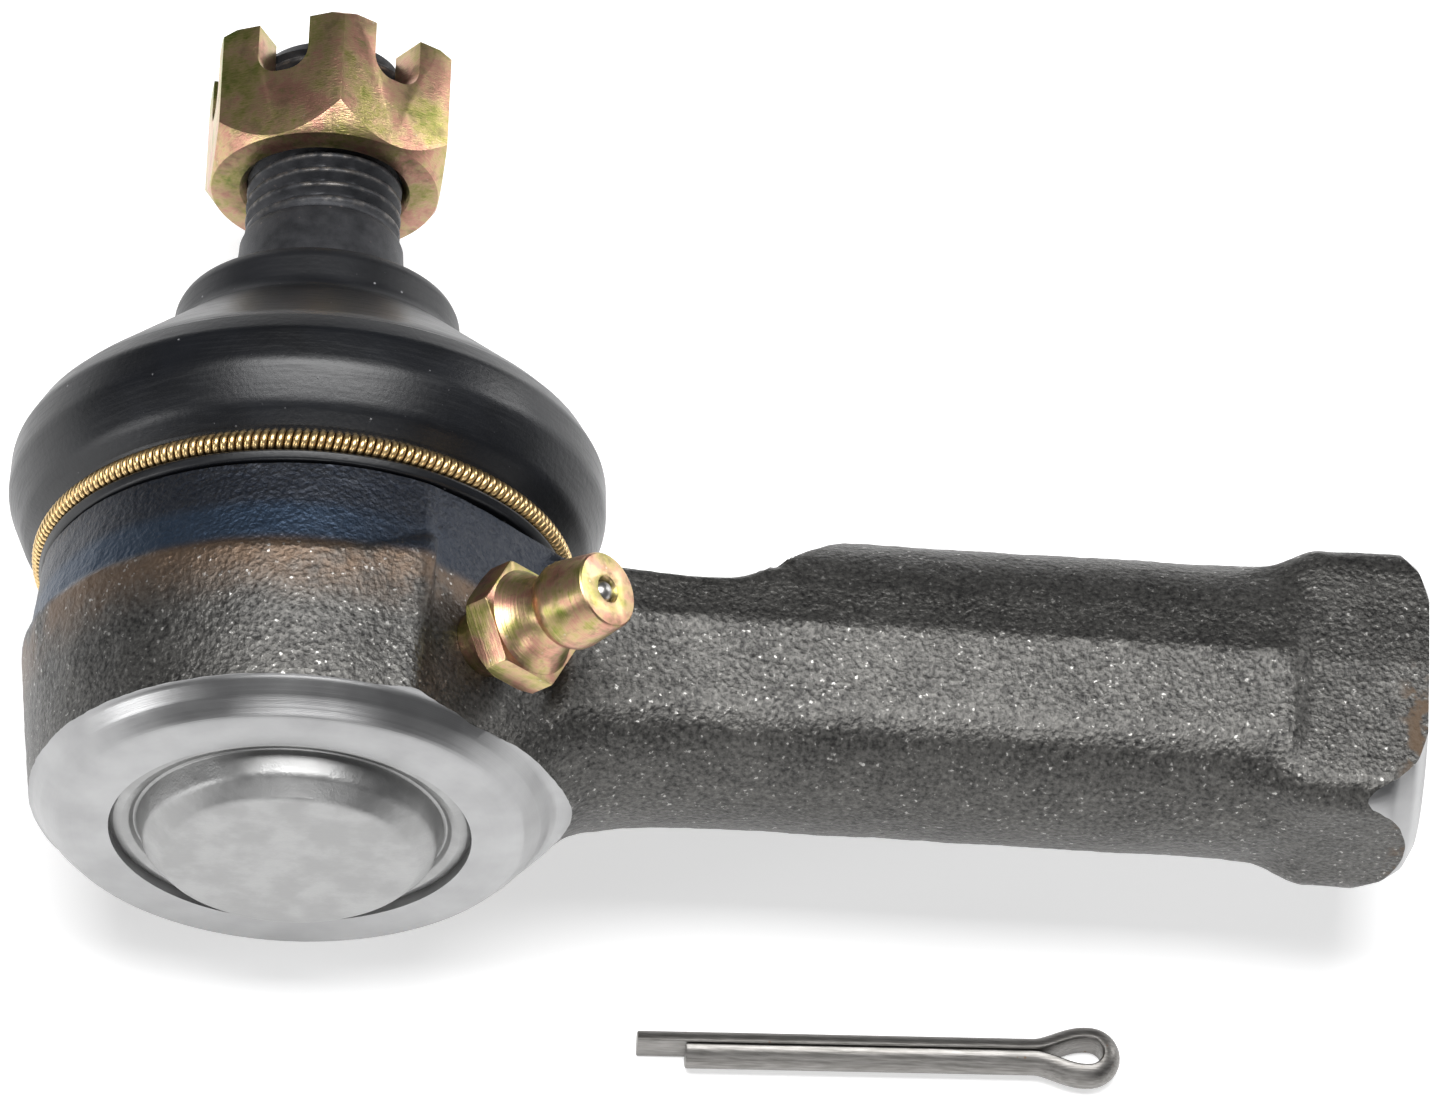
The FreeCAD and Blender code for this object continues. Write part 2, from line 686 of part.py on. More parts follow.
os.makedirs("parts", exist_ok=True)
PIECES = (
    socket_housing,
    ball_stud,
    upper_bearing_seat,
    lower_bearing_seat,
    preload_spring,
    end_cap,
    dust_boot,
    boot_neck_ring,
    boot_garter_spring,
    castle_nut,
    grease_fitting_body,
    grease_fitting_ball,
    grease_fitting_spring,
    cotter_pin,
)
for make_piece in PIECES:
    piece = make_piece()
    box = piece.BoundBox
    print(make_piece.__name__, "valid", piece.isValid(), "solids", len(piece.Solids))
    print("    volume", round(piece.Volume))
    print("    x", round(box.XMin, 1), round(box.XMax, 1), "y", round(box.YMin, 1), round(box.YMax, 1))
    print("    z", round(box.ZMin, 1), round(box.ZMax, 1))
    save(make_piece.__name__, piece)
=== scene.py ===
import math

import bmesh
import bpy
import numpy as np
from mathutils import Matrix, Vector, noise


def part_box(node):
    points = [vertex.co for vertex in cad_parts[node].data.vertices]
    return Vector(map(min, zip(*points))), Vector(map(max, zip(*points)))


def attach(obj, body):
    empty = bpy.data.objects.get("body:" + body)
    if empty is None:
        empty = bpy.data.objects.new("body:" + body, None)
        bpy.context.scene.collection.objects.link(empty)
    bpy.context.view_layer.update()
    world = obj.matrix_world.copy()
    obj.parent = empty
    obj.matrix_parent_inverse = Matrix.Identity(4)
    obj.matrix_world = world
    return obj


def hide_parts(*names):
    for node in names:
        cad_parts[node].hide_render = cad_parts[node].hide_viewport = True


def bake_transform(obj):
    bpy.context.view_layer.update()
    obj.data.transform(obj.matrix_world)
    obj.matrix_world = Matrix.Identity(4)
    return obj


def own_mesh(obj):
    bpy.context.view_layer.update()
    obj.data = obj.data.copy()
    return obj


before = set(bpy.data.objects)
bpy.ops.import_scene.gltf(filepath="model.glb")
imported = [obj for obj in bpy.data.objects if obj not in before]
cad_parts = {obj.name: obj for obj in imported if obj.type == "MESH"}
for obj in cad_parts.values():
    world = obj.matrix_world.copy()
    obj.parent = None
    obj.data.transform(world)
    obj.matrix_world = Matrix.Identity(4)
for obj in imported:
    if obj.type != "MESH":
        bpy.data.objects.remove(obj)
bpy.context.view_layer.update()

# ------------------------------------------------------------------------------------------------
# Socket housing. One steel forging, barrel and shank together. It is struck between two dies that
# part along the shank, shot-blasted, and then turned, bored and tapped.

MM = 0.001  # Sizes are written in millimetres, and meshes are in metres.
BARREL_R = 24.5
BARREL_DRAFT = 0.1
BARREL_BOTTOM_Y = -18.2
SOCKET_TOP_Y = 12.5
PARTING_Y = -1.9
PARTING_STEP = 0.45
COLLAR_RAMP_X = 83.5
COLLAR_START_X = 88.5
SHANK_END_X = 99.4
THREAD_R = 7.0
THREAD_PITCH = 1.5
ROD_BORE_DEPTH = 48.0
GREASE_WAY = (math.cos(math.radians(46.5)), 0.0, math.sin(math.radians(46.5)))
GREASE_WAY_START = (0.0, -7.3, 0.0)
FORGING_VOXEL = 0.42


class Field:
    """A value that changes over a surface. Arithmetic on it adds Math nodes to its finish."""

    def __init__(self, finish, socket):
        self.finish = finish
        self.socket = socket

    def math(self, operation, *others):
        values = {i: v for i, v in enumerate((self, *others))}
        return self.finish.node("ShaderNodeMath", {"operation": operation}, values)

    def __add__(self, other):
        return self.math("ADD", other)

    def __mul__(self, other):
        return self.math("MULTIPLY", other)

    def __sub__(self, other):
        return self.math("SUBTRACT", other)

    def __pow__(self, other):
        return self.math("POWER", other)

    def __rsub__(self, other):
        return self.math("MULTIPLY", -1.0).math("ADD", other)

    __radd__ = __add__
    __rmul__ = __mul__

    def between(self, low, high):
        """0 below low, 1 above high and smooth between them. High may be the lower of the two."""
        inputs = {"Value": self, "From Min": low, "From Max": high}
        return self.finish.node("ShaderNodeMapRange", {"interpolation_type": "SMOOTHSTEP"}, inputs)


class Finish:
    """One material, built node by node around its Principled shader."""

    def __init__(self, name, constants=None):
        self.material = bpy.data.materials.new(name)
        self.material.use_nodes = True
        self.tree = self.material.node_tree
        self.shader = self.tree.nodes["Principled BSDF"]
        for socket, value in (constants or {}).items():
            self.shader.inputs[socket].default_value = value
        metres = self.node("ShaderNodeTexCoord", {}, {}, "Object")
        self.place = self.node("ShaderNodeVectorMath", {"operation": "SCALE"}, {0: metres, "Scale": 1 / MM})
        self.x, self.y, self.z = (self.part_of(self.place, axis) for axis in "XYZ")

    def node(self, kind, settings, inputs, output=0):
        """Adds a node. Its settings come first, then the values or links of its sockets."""
        node = self.tree.nodes.new(kind)
        for name, value in settings.items():
            if name == "stops":
                self.set_stops(node.color_ramp, value)
            else:
                setattr(node, name, value)
        for name, value in inputs.items():
            if isinstance(value, Field):
                self.tree.links.new(value.socket, node.inputs[name])
            else:
                node.inputs[name].default_value = value
        return Field(self, node.outputs[output])

    def set_stops(self, ramp, stops):
        """A colour ramp's stops, as (position, colour) pairs."""
        while len(ramp.elements) < len(stops):
            ramp.elements.new(0.5)
        for element, (position, colour) in zip(ramp.elements, stops):
            element.position = position
            element.color = (*colour, 1.0)

    def part_of(self, vector, axis):
        """One of a vector's three numbers, as X, Y or Z."""
        return self.node("ShaderNodeSeparateXYZ", {}, {"Vector": vector}, axis)

    def point(self, x, y, z):
        return self.node("ShaderNodeCombineXYZ", {}, {"X": x, "Y": y, "Z": z})

    def grain(self, size, place=None, detail=3.0, roughness=0.55):
        """Soft noise from 0 to 1, with lumps of about that size in millimetres."""
        inputs = {"Vector": place or self.place, "Scale": 1 / size, "Detail": detail, "Roughness": roughness}
        return self.node("ShaderNodeTexNoise", {}, inputs, "Fac")

    def cells(self, size, output="Distance"):
        """Voronoi cells of about that size in millimetres: the distance to each centre, or a colour each."""
        return self.node("ShaderNodeTexVoronoi", {}, {"Vector": self.place, "Scale": 1 / size}, output)

    def ramp(self, factor, stops):
        return self.node("ShaderNodeValToRGB", {"stops": stops}, {"Fac": factor}, "Color")

    def mix(self, factor, first, second):
        """The first colour where factor is 0 and the second where it is 1."""
        colours = [c if isinstance(c, Field) else (*c, 1.0) for c in (first, second)]
        inputs = {0: factor, 6: colours[0], 7: colours[1]}
        return self.node("ShaderNodeMix", {"data_type": "RGBA"}, inputs, 2)

    def radius_about(self, first, second):
        """The distance from the axis that two coordinates are measured from."""
        return (first * first + second * second) ** 0.5

    def set(self, socket, value):
        self.tree.links.new(value.socket, self.shader.inputs[socket])

    def bump(self, height_mm):
        """Feeds a height in millimetres to the shader's Normal."""
        inputs = {"Height": height_mm, "Distance": MM, "Strength": 1.0}
        self.set("Normal", self.node("ShaderNodeBump", {}, inputs, "Normal"))


def forged_scale():
    """Shot-blasted forging scale: a fine dark grit with painted glints, browned and blued by heat in places,
    and a painted strip of lighter blue light on the barrel's left side.
    """
    finish = Finish("forged_scale")
    grit = finish.grain(0.45, detail=4.0, roughness=0.6)
    pits = finish.cells(0.5)
    facets = finish.part_of(finish.cells(0.26, output="Color"), "X")
    broad = finish.grain(6.0, detail=4.0)
    barrel = finish.radius_about(finish.x, finish.z).between(27.0, 24.8)
    blue = barrel * finish.y.between(-2.6, -1.2)
    # Painted glints: pale specks in the colour stand in for grit facets catching the light.
    painted_glint = facets.between(0.9, 1.0) * grit.between(0.52, 0.62) * (1 - blue)
    brown = barrel * finish.y.between(-9.0, -2.5) * finish.y.between(-1.0, -2.2) * broad.between(0.3, 0.55)
    rust = finish.x.between(96.4, 98.2) * finish.y.between(1.0, -3.5) * finish.grain(1.6).between(0.46, 0.6)
    colour = finish.ramp(grit + broad * 0.3, [(0.45, (0.024, 0.0235, 0.023)), (0.85, (0.12, 0.117, 0.11))])
    colour = finish.mix(brown * 0.8, colour, (0.13, 0.085, 0.055))
    colour = finish.mix(blue * 0.75, colour, (0.014, 0.02, 0.034))
    # Painted light: a lighter blue strip on the barrel's left side, just above the parting step, as if lit
    # from the left.
    painted_left_light = blue * finish.y.between(2.6, 0.8) * finish.x.between(16.0, -4.0)
    colour = finish.mix(painted_left_light * 0.6, colour, (0.03, 0.055, 0.095))
    # The painted glints' pale colour.
    colour = finish.mix(painted_glint * 0.7, colour, (0.5, 0.49, 0.47))
    colour = finish.mix(rust * 0.8, colour, (0.1, 0.06, 0.03))
    finish.set("Base Color", colour)
    finish.set("Metallic", 0.85 - rust * 0.7)
    finish.set("Roughness", 0.4 - painted_glint * 0.1 + rust * 0.3 + broad * 0.06)
    finish.bump(grit * 0.11 + pits * 0.05)
    return finish.material


def turned_steel():
    """Bare steel from the lathe: bright, with fine rings round the stud's axis."""
    finish = Finish("turned_steel", {"Metallic": 1.0})
    stud_radius = finish.radius_about(finish.x, finish.z)
    rings = finish.grain(1.0, finish.point(stud_radius * 9.0, finish.y * 9.0, 0.0), 2.0)
    cloud = finish.grain(5.0)
    finish.set("Base Color", finish.ramp(cloud, [(0.3, (0.28, 0.28, 0.282)), (0.7, (0.35, 0.35, 0.352))]))
    finish.set("Roughness", 0.24 + rings * 0.1 + cloud * 0.08)
    finish.bump(rings * 0.012)
    return finish.material


def filleted(corners, closed=False):
    """An outline whose corners are rounded. Each corner is (across, along) or (across, along, radius)."""
    degrees_per_step = 9.0
    points = []
    count = len(corners)
    for i, corner in enumerate(corners):
        here = Vector(corner[:2])
        radius = corner[2] if len(corner) > 2 else 0.0
        if not radius or (not closed and i in (0, count - 1)):
            points.append(tuple(here))
            continue
        back = (Vector(corners[i - 1][:2]) - here).normalized()
        ahead = (Vector(corners[(i + 1) % count][:2]) - here).normalized()
        half = back.angle(ahead) / 2
        centre = here + (back + ahead).normalized() * radius / math.sin(half)
        first = here + back * radius / math.tan(half) - centre
        turn = first.angle_signed(here + ahead * radius / math.tan(half) - centre)
        steps = max(2, math.ceil(abs(math.degrees(turn)) / degrees_per_step))
        for k in range(steps + 1):
            angle = -turn * k / steps
            spun = Matrix.Rotation(angle, 2) @ first
            points.append(tuple(centre + spun))
    return points


def new_piece(name, points, faces, *materials):
    """A mesh object from points in millimetres."""
    mesh = bpy.data.meshes.new(name)
    mesh.from_pydata((np.asarray(points, float) * MM).tolist(), [], faces)
    piece = bpy.data.objects.new(name, mesh)
    bpy.context.collection.objects.link(piece)
    for material in materials:
        mesh.materials.append(material)
    return piece


def smooth_shaded(piece, crease_deg=32.0):
    """Smooth shading, with edges sharper than the crease angle left sharp."""
    piece.data.shade_smooth()
    piece.data.set_sharp_from_angle(angle=math.radians(crease_deg))
    return piece


def lathe(name, outline, segments=128, closed=False, radius_at=None, material=None):
    """A skin turned about +Y from (radius, y) points. radius_at(radius, y, angle) may cut a thread in it."""
    angles = np.arange(segments) * 2 * math.pi / segments
    points, rings = [], []
    for radius, y in outline:
        if radius < 1e-6:
            rings.append([len(points)])
            points.append((0.0, y, 0.0))
            continue
        radii = np.full(segments, radius) if radius_at is None else radius_at(radius, y, angles)
        rings.append(list(range(len(points), len(points) + segments)))
        points += list(zip(radii * np.sin(angles), np.full(segments, y), radii * np.cos(angles)))
    faces = []
    pairs = list(zip(rings, rings[1:])) + ([(rings[-1], rings[0])] if closed else [])
    for low, high in pairs:
        for i in range(segments):
            j = (i + 1) % segments
            ring = [low[i % len(low)], low[j % len(low)], high[j % len(high)], high[i % len(high)]]
            corners = list(dict.fromkeys(ring))
            if len(corners) > 2:
                faces.append(corners)
    piece = new_piece(name, points, faces, *([material] if material else []))
    face_outwards(piece)
    return piece


def face_outwards(piece):
    mesh = bmesh.new()
    mesh.from_mesh(piece.data)
    bmesh.ops.recalc_face_normals(mesh, faces=mesh.faces[:])
    mesh.to_mesh(piece.data)
    mesh.free()


def thread_skin(crest, root, pitch, start, end):
    """A radius_at for lathe: a V thread between two heights, fading out at its start."""

    def radius_at(radius, y, angles):
        turn = (y - start) / pitch - angles / (2 * math.pi)
        depth = np.clip(1.25 - 2.5 * np.abs((turn % 1.0) - 0.5), 0, 1)
        fade = np.clip((y - start) / (1.5 * pitch) + 0.25, 0, 1)
        cut = crest - (crest - root) * (1 - depth) * fade
        inside = (y > start) & (y < end)
        return np.where(inside, np.minimum(radius, cut), radius)

    return radius_at


def aimed(piece, direction, origin):
    """Turns a piece lathed about +Y so that it points along a direction, from a place in millimetres."""
    turn = Vector((0, 1, 0)).rotation_difference(Vector(direction)).to_matrix().to_4x4()
    piece.data.transform(Matrix.Translation(Vector(origin) * MM) @ turn)
    return piece


def applied(piece):
    """Applies a piece's modifiers, so that it is a plain mesh."""
    graph = bpy.context.evaluated_depsgraph_get()
    mesh = bpy.data.meshes.new_from_object(piece.evaluated_get(graph))
    piece.modifiers.clear()
    piece.data = mesh
    return piece


def cut_away(piece, cutter):
    """Takes the cutter out of the piece. The cut faces keep the cutter's material."""
    modifier = piece.modifiers.new("cut", "BOOLEAN")
    modifier.operation = "DIFFERENCE"
    modifier.solver = "MANIFOLD"
    modifier.material_mode = "TRANSFER"
    modifier.object = cutter
    applied(piece)
    bpy.data.objects.remove(cutter)


def smooth_step(value, low, high):
    t = np.clip((value - low) / (high - low), 0, 1)
    return t * t * (3 - 2 * t)


def joined(first, second, blend):
    """The smaller of two distances, with a fillet of about the blend's size where they meet."""
    h = np.clip(0.5 + 0.5 * (second - first) / blend, 0, 1)
    return second * (1 - h) + first * h - blend * h * (1 - h)


def shared(first, second, blend):
    """The larger of two distances, with a rounded edge where they meet."""
    return -joined(-first, -second, blend)


def barrel_distance(x, y, z):
    """Distance outside the barrel as it leaves the dies. Draft runs both ways from a wavy parting step."""
    bearing = np.degrees(np.arctan2(x, np.abs(z)))
    wave = np.minimum(0.00025 * (bearing + 8) ** 2, 1.0) + 2.6 * smooth_step(bearing, 10, 29)
    from_parting = y - PARTING_Y + 0.45 - wave
    rib = 0.55 * np.exp(-(((bearing - 24.5) / 4.2) ** 2)) * smooth_step(from_parting, 0.3, -1.5)
    step = PARTING_STEP * smooth_step(from_parting, -0.35, 0.35)
    side = np.hypot(x, z) - (BARREL_R - BARREL_DRAFT * np.abs(y - PARTING_Y) - step + rib)
    ends = np.maximum(BARREL_BOTTOM_Y - 3 - y, y - SOCKET_TOP_Y)
    return shared(side, ends, 0.8)


def fitting_pocket(x, y, z):
    """Distance outside the flat pocket forged round the grease fitting, on the upper side only."""
    out = x * GREASE_WAY[0] + z * GREASE_WAY[2]
    aside = z * GREASE_WAY[0] - x * GREASE_WAY[2]
    return shared(shared(22.7 - out, aside - 6.7, 1.2), -9.0 - aside, 2.0)


def shank_distance(x, y, z):
    """Distance outside the shank: drafted flats with a parting ridge, a round belly and a rounder back."""
    growth = 1.0 + 0.22 * (1 - smooth_step(x, 11.0, 36.0))
    v, w = y / growth, np.abs(z) / growth
    flats = w - 10.95 - np.where(v < 0, 0.143 * v, -0.213 * v)
    belly = np.hypot(v - 2.7, w) - 15.7
    back = np.hypot(v - 2.9, w) - 10.1
    section = joined(shared(shared(flats, belly, 2.0), v - 4.8, 0.3), back, 0.3) * growth
    top = 5.0 + 8.2 * smooth_step(x, 37.0, 51.0)
    section = shared(section, y - top, 1.0)
    return shared(section, np.maximum(x - COLLAR_START_X, -x), 1.5)


def collar_distance(x, y, z):
    """Distance outside the wrench collar, a block with rounded corners that a ramp leads up to."""
    shrink = 1 - 0.16 * smooth_step(x, 90.0, COLLAR_RAMP_X)
    v, w = y / shrink, np.abs(z) / shrink
    side = np.abs(v + 0.45) - 13.05
    face = w - 9.3 - 0.65 * np.clip(1 - np.abs(v) / 10.5, 0, 1)
    block = shared(side, face, 3.4) * shrink
    return shared(block, np.maximum(COLLAR_RAMP_X - x, x - SHANK_END_X - 1), 1.0)


def forging_distance(points):
    """Distance outside the whole forging, for rows of points in millimetres."""
    x, y, z = points.T
    body = joined(barrel_distance(x, y, z), shank_distance(x, y, z), 4.0)
    body = shared(body, -fitting_pocket(x, y, z), 0.9)
    return joined(body, collar_distance(x, y, z), 1.0)


def crude_forging():
    """Overlapping blocks that one remesh joins, to be drawn onto the true shape afterwards."""
    barrel = lathe("forging", [(0, -21.2), (24, -21.2), (24, SOCKET_TOP_Y), (0, SOCKET_TOP_Y)], 64)
    shank_block = ((0, -13, -10), (88, 5, 10))
    back_block = ((44, -10, -9), (88, 13, 9))
    collar_block = ((86, -13, -9), (100.4, 12, 9))
    blocks = bmesh.new()
    blocks.from_mesh(barrel.data)
    for low, high in (shank_block, back_block, collar_block):
        size = Vector(high) - Vector(low)
        middle = (Vector(high) + Vector(low)) / 2
        place = Matrix.Translation(middle * MM) @ Matrix.Diagonal((*(size * MM), 1))
        bmesh.ops.create_cube(blocks, size=1.0, matrix=place)
    blocks.to_mesh(barrel.data)
    blocks.free()
    remesh = barrel.modifiers.new("remesh", "REMESH")
    remesh.mode = "VOXEL"
    remesh.voxel_size = FORGING_VOXEL * MM
    return applied(barrel)


def draw_onto_shape(points):
    """Moves points along the distance's slope until they lie on the forging's surface."""
    probe = 0.02
    for _ in range(14):
        distance = forging_distance(points)
        slope = np.empty_like(points)
        for axis in range(3):
            shifted = points.copy()
            shifted[:, axis] += probe
            slope[:, axis] = (forging_distance(shifted) - distance) / probe
        length = np.maximum(np.linalg.norm(slope, axis=1), 0.3)
        points = points - slope * np.clip(distance / length ** 2, -0.6, 0.6)[:, None]
    return points


def relax(mesh, times):
    """Evens out the spacing of a mesh's points."""
    work = bmesh.new()
    work.from_mesh(mesh)
    every_way = {"use_axis_x": True, "use_axis_y": True, "use_axis_z": True}
    for _ in range(times):
        bmesh.ops.smooth_vert(work, verts=work.verts[:], factor=0.5, **every_way)
    work.to_mesh(mesh)
    work.free()


def points_of(mesh):
    """A mesh's points in millimetres, one row each."""
    flat = np.empty(len(mesh.vertices) * 3)
    mesh.vertices.foreach_get("co", flat)
    return flat.reshape(-1, 3) / MM


def place_points(mesh, points):
    mesh.vertices.foreach_set("co", (points * MM).ravel())
    mesh.update()


def struck_surface(mesh):
    """The die's wear and the blasting: shallow lumps, pits, and the flash trimmed off the parting ridge."""
    points = points_of(mesh)
    normals = np.empty(len(mesh.vertices) * 3)
    mesh.vertices.foreach_get("normal", normals)
    normals = normals.reshape(-1, 3)
    lift = np.empty(len(points))
    for i, p in enumerate(points):
        spot = Vector(p)
        lumps = noise.noise(spot * 0.16) * 0.09 + noise.noise(spot * 0.5) * 0.05
        pits = noise.noise(spot * 1.15) * 0.05
        lift[i] = lumps + pits
    x, y, z = points.T
    on_shank = smooth_step(x, 26.0, 30.0) * smooth_step(x, 90.0, 86.0)
    torn = np.array([noise.noise(Vector((v * 0.45, 3.7, s))) for v, s in zip(x, np.sign(z))])
    flash = 0.3 * np.exp(-((y / 0.45) ** 2)) * on_shank * smooth_step(torn, -0.15, 0.4)
    place_points(mesh, points + normals * (lift + flash)[:, None])


def lathe_cutters(bright):
    """What the lathe takes off: the rim and its cone, the boot's groove, and the bore from below."""
    rim = [(0, BARREL_BOTTOM_Y), (19.2, BARREL_BOTTOM_Y), (20.6, -17.9, 1.6), (22.0, -16.5, 1.5)]
    rim += [(23.0, -15.0, 1.2), (38.0, -13.2), (38.0, -24.0), (0, -24.0)]
    groove = [(30.0, 6.0), (20.9, 6.0, 0.3), (20.9, 10.6), (21.8, 10.6), (21.8, 11.7), (21.0, 12.5)]
    groove += [(21.0, 14.0), (30.0, 14.0)]
    cavity = [(0, -19.0), (16.0, -19.0), (16.0, -17.2), (17.5, -17.2), (17.5, -14.4), (16.6, -14.4)]
    cavity += [(16.6, 2.5), (12.8, 7.6), (12.2, 7.9), (14.8, 13.0), (0, 13.0)]
    return [
        lathe("rim_cut", filleted(rim), 192, material=bright),
        lathe("groove_cut", filleted(groove, True), 128, True, material=bright),
        lathe("cavity_cut", cavity, 128, material=bright),
    ]


def rod_tap(bright):
    """The tapped bore in the shank's end, as the shape that the drill, the tap and the centre leave."""
    step = THREAD_PITCH / 8
    top = ROD_BORE_DEPTH - 1.0
    mouth = ROD_BORE_DEPTH + 1.4
    outline = [(0, -4.2), (THREAD_R, 0)] + [(THREAD_R, y) for y in np.arange(step, top, step)]
    outline += [(THREAD_R, top), (9.4, mouth), (0, mouth)]
    thread = thread_skin(THREAD_R, 6.19, THREAD_PITCH, 0.0, top - 0.05)
    tap = lathe("rod_tap", outline, 72, radius_at=thread, material=bright)
    return aimed(tap, (1, 0, 0), (SHANK_END_X - ROD_BORE_DEPTH, 0, 0))


def end_cut(bright):
    """The lathe's facing of the collar's end, with the round-over that only reaches the block's corners."""
    outline = [(0, 0.0), (11.6, 0.0), (13.4, -0.9, 1.5), (14.6, -2.6, 2.0), (15.4, -5.4, 4.0), (17.0, -10.4)]
    outline += [(30.0, -10.4), (30.0, 4.0), (0, 4.0)]
    face = lathe("end_face", filleted(outline), 160, material=bright)
    return aimed(face, (1, 0, 0), (SHANK_END_X, 0, 0))


def grease_hole_cut(scale):
    """The seat and the hole for the grease fitting. The seat keeps the forging's scale."""
    outline = [(0, 11.0), (3.0, 11.0), (3.0, 22.9), (6.6, 22.9, 0.6), (6.6, 36.0), (0, 36.0)]
    cut = lathe("grease_hole", filleted(outline), 64, material=scale)
    return aimed(cut, GREASE_WAY, GREASE_WAY_START)


forging = crude_forging()
relax(forging.data, 3)
place_points(forging.data, draw_onto_shape(points_of(forging.data)))
relax(forging.data, 1)
place_points(forging.data, draw_onto_shape(points_of(forging.data)))
struck_surface(forging.data)
forge_scale = forged_scale()
bright_steel = turned_steel()
forging.data.materials.append(forge_scale)
for cutter in lathe_cutters(bright_steel):
    cut_away(forging, cutter)
for cutter in (end_cut(bright_steel), rod_tap(bright_steel), grease_hole_cut(forge_scale)):
    cut_away(forging, cutter)
smooth_shaded(forging, 40.0)
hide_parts("socket_housing")
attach(forging, "housing")

# ------------------------------------------------------------------------------------------------
# End cap. A disc pressed from sheet steel, domed to make room for the spring, and held in the
# socket by the lip that is rolled over its edge. It is bare, and scuffed from handling.


def scuffed_sheet():
    """Bare pressed sheet: satin, with dull patches and a few fine scratches."""
    finish = Finish("scuffed_sheet", {"Metallic": 1.0})
    patches = finish.grain(3.2, detail=5.0)
    drag = finish.grain(1.0, finish.point(finish.x * 0.35, finish.y, finish.z * 5.0), 4.0)
    scuffs = finish.grain(0.22) * patches.between(0.42, 0.62)
    colour = finish.mix(patches.between(0.35, 0.7), (0.27, 0.27, 0.268), (0.34, 0.34, 0.338))
    finish.set("Base Color", colour)
    finish.set("Roughness", 0.32 + patches * 0.14 + drag * 0.08)
    finish.bump(drag * 0.01 + scuffs * 0.03)
    return finish.material


cap_edge = [(17.4, -14.6), (17.4, -17.15, 0.2), (16.1, -17.15), (15.6, -17.5, 0.3), (14.9, -17.7, 0.3)]
cap_edge += [(14.2, -17.5, 0.3), (13.8, -17.1, 0.15), (13.55, -17.3, 0.2)]
cap_dome = [(12.9, -19.4, 1.6), (11.3, -21.0, 1.1), (9.6, -21.1, 2.0), (0, -21.05)]
cap_hollow = [(0, -19.1), (9.8, -19.1, 1.0), (10.8, -18.1, 0.6), (10.8, -14.6)]
cap_outline = filleted(cap_edge + cap_dome + cap_hollow)
end_cap = lathe("end_cap_pressing", cap_outline, 160, True, material=scuffed_sheet())
smooth_shaded(end_cap, 30.0)
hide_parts("end_cap")
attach(end_cap, "housing")

# ------------------------------------------------------------------------------------------------
# Bearing seats, disc spring and boot ring. Small hardened parts shut up inside the socket and the
# boot, ground where they run and left oiled.


def oiled_steel():
    """Hardened steel under a film of oil, with the marks of grinding."""
    finish = Finish("oiled_steel", {"Metallic": 1.0})
    marks = finish.grain(0.3, finish.point(finish.x, finish.y * 6.0, finish.z))
    film = finish.grain(4.0)
    finish.set("Base Color", finish.ramp(film, [(0.3, (0.3, 0.29, 0.27)), (0.7, (0.46, 0.45, 0.44))]))
    finish.set("Roughness", 0.24 + marks * 0.16)
    finish.bump(marks * 0.01)
    return finish.material


def refinish(node, material):
    """Gives a CAD node its finish."""
    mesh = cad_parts[node].data
    mesh.materials.clear()
    mesh.materials.append(material)


hardened = oiled_steel()
for hidden_piece in ("upper_bearing_seat", "lower_bearing_seat", "preload_spring", "boot_neck_ring"):
    refinish(hidden_piece, hardened)

# ------------------------------------------------------------------------------------------------
# Ball stud. Turned from one bar, with a polished ball, a waist, a taper that locks in the steering
# arm and a rolled thread with a cross hole. All but the ball is black from its phosphate bath.


def phosphated_steel():
    """Black phosphate, rubbed through to bare steel along the thread's crests, which also carry a painted
    highlight, and polished on the ball.
    """
    finish = Finish("phosphated_steel")
    radius = finish.radius_about(finish.x, finish.z)
    mottle = finish.grain(1.4, detail=5.0)
    fine = finish.grain(0.12)
    threaded = finish.y.between(42.3, 43.2)
    # The thread's crests: partly real wear to bare steel, partly a painted highlight along them.
    worn_and_highlit_crest = threaded * radius.between(6.8, 6.98) * finish.grain(0.9).between(0.4, 0.75)
    specks = finish.cells(0.9).between(0.16, 0.08) * mottle.between(0.5, 0.66)
    ball = finish.y.between(13.0, 12.0)
    colour = finish.ramp(mottle, [(0.3, (0.02, 0.021, 0.024)), (0.7, (0.05, 0.051, 0.056))])
    # Lighter crests, for the wear and the painted highlight.
    colour = finish.mix(worn_and_highlit_crest * 0.3, colour, (0.3, 0.27, 0.24))
    colour = finish.mix(specks * 0.35, colour, (0.22, 0.17, 0.15))
    colour = finish.mix(ball, colour, (0.55, 0.55, 0.54))
    finish.set("Base Color", colour)
    finish.set("Metallic", 0.55 + ball * 0.45)
    finish.set("Roughness", 0.5 + fine * 0.12 - worn_and_highlit_crest * 0.2 - ball * 0.38)
    finish.bump((mottle * 0.03 + fine * 0.02) * (1 - ball))
    return finish.material


THREAD_START_Y = 42.1
STUD_END_Y = 60.0
BALL_R = 13.5
WAIST_R = 6.1
TAPER_TOP_R = 7.35
CROSS_HOLE_R = 1.75
CROSS_HOLE_Y = 56.9
NUT_TURN_DEG = 4.3


def taper_radius(y):
    """The taper's radius at a height. It narrows by 1 in 8 on the diameter."""
    return TAPER_TOP_R + (THREAD_START_Y - y) / 16


def ball_arc():
    """The ball from its foot to where the waist leaves it."""
    steps = 36
    top = math.acos(WAIST_R / BALL_R) - 0.02
    turns = [-math.pi / 2 + (top + math.pi / 2) * i / steps for i in range(steps + 1)]
    return [(BALL_R * math.cos(a) if i else 0.0, BALL_R * math.sin(a)) for i, a in enumerate(turns)]


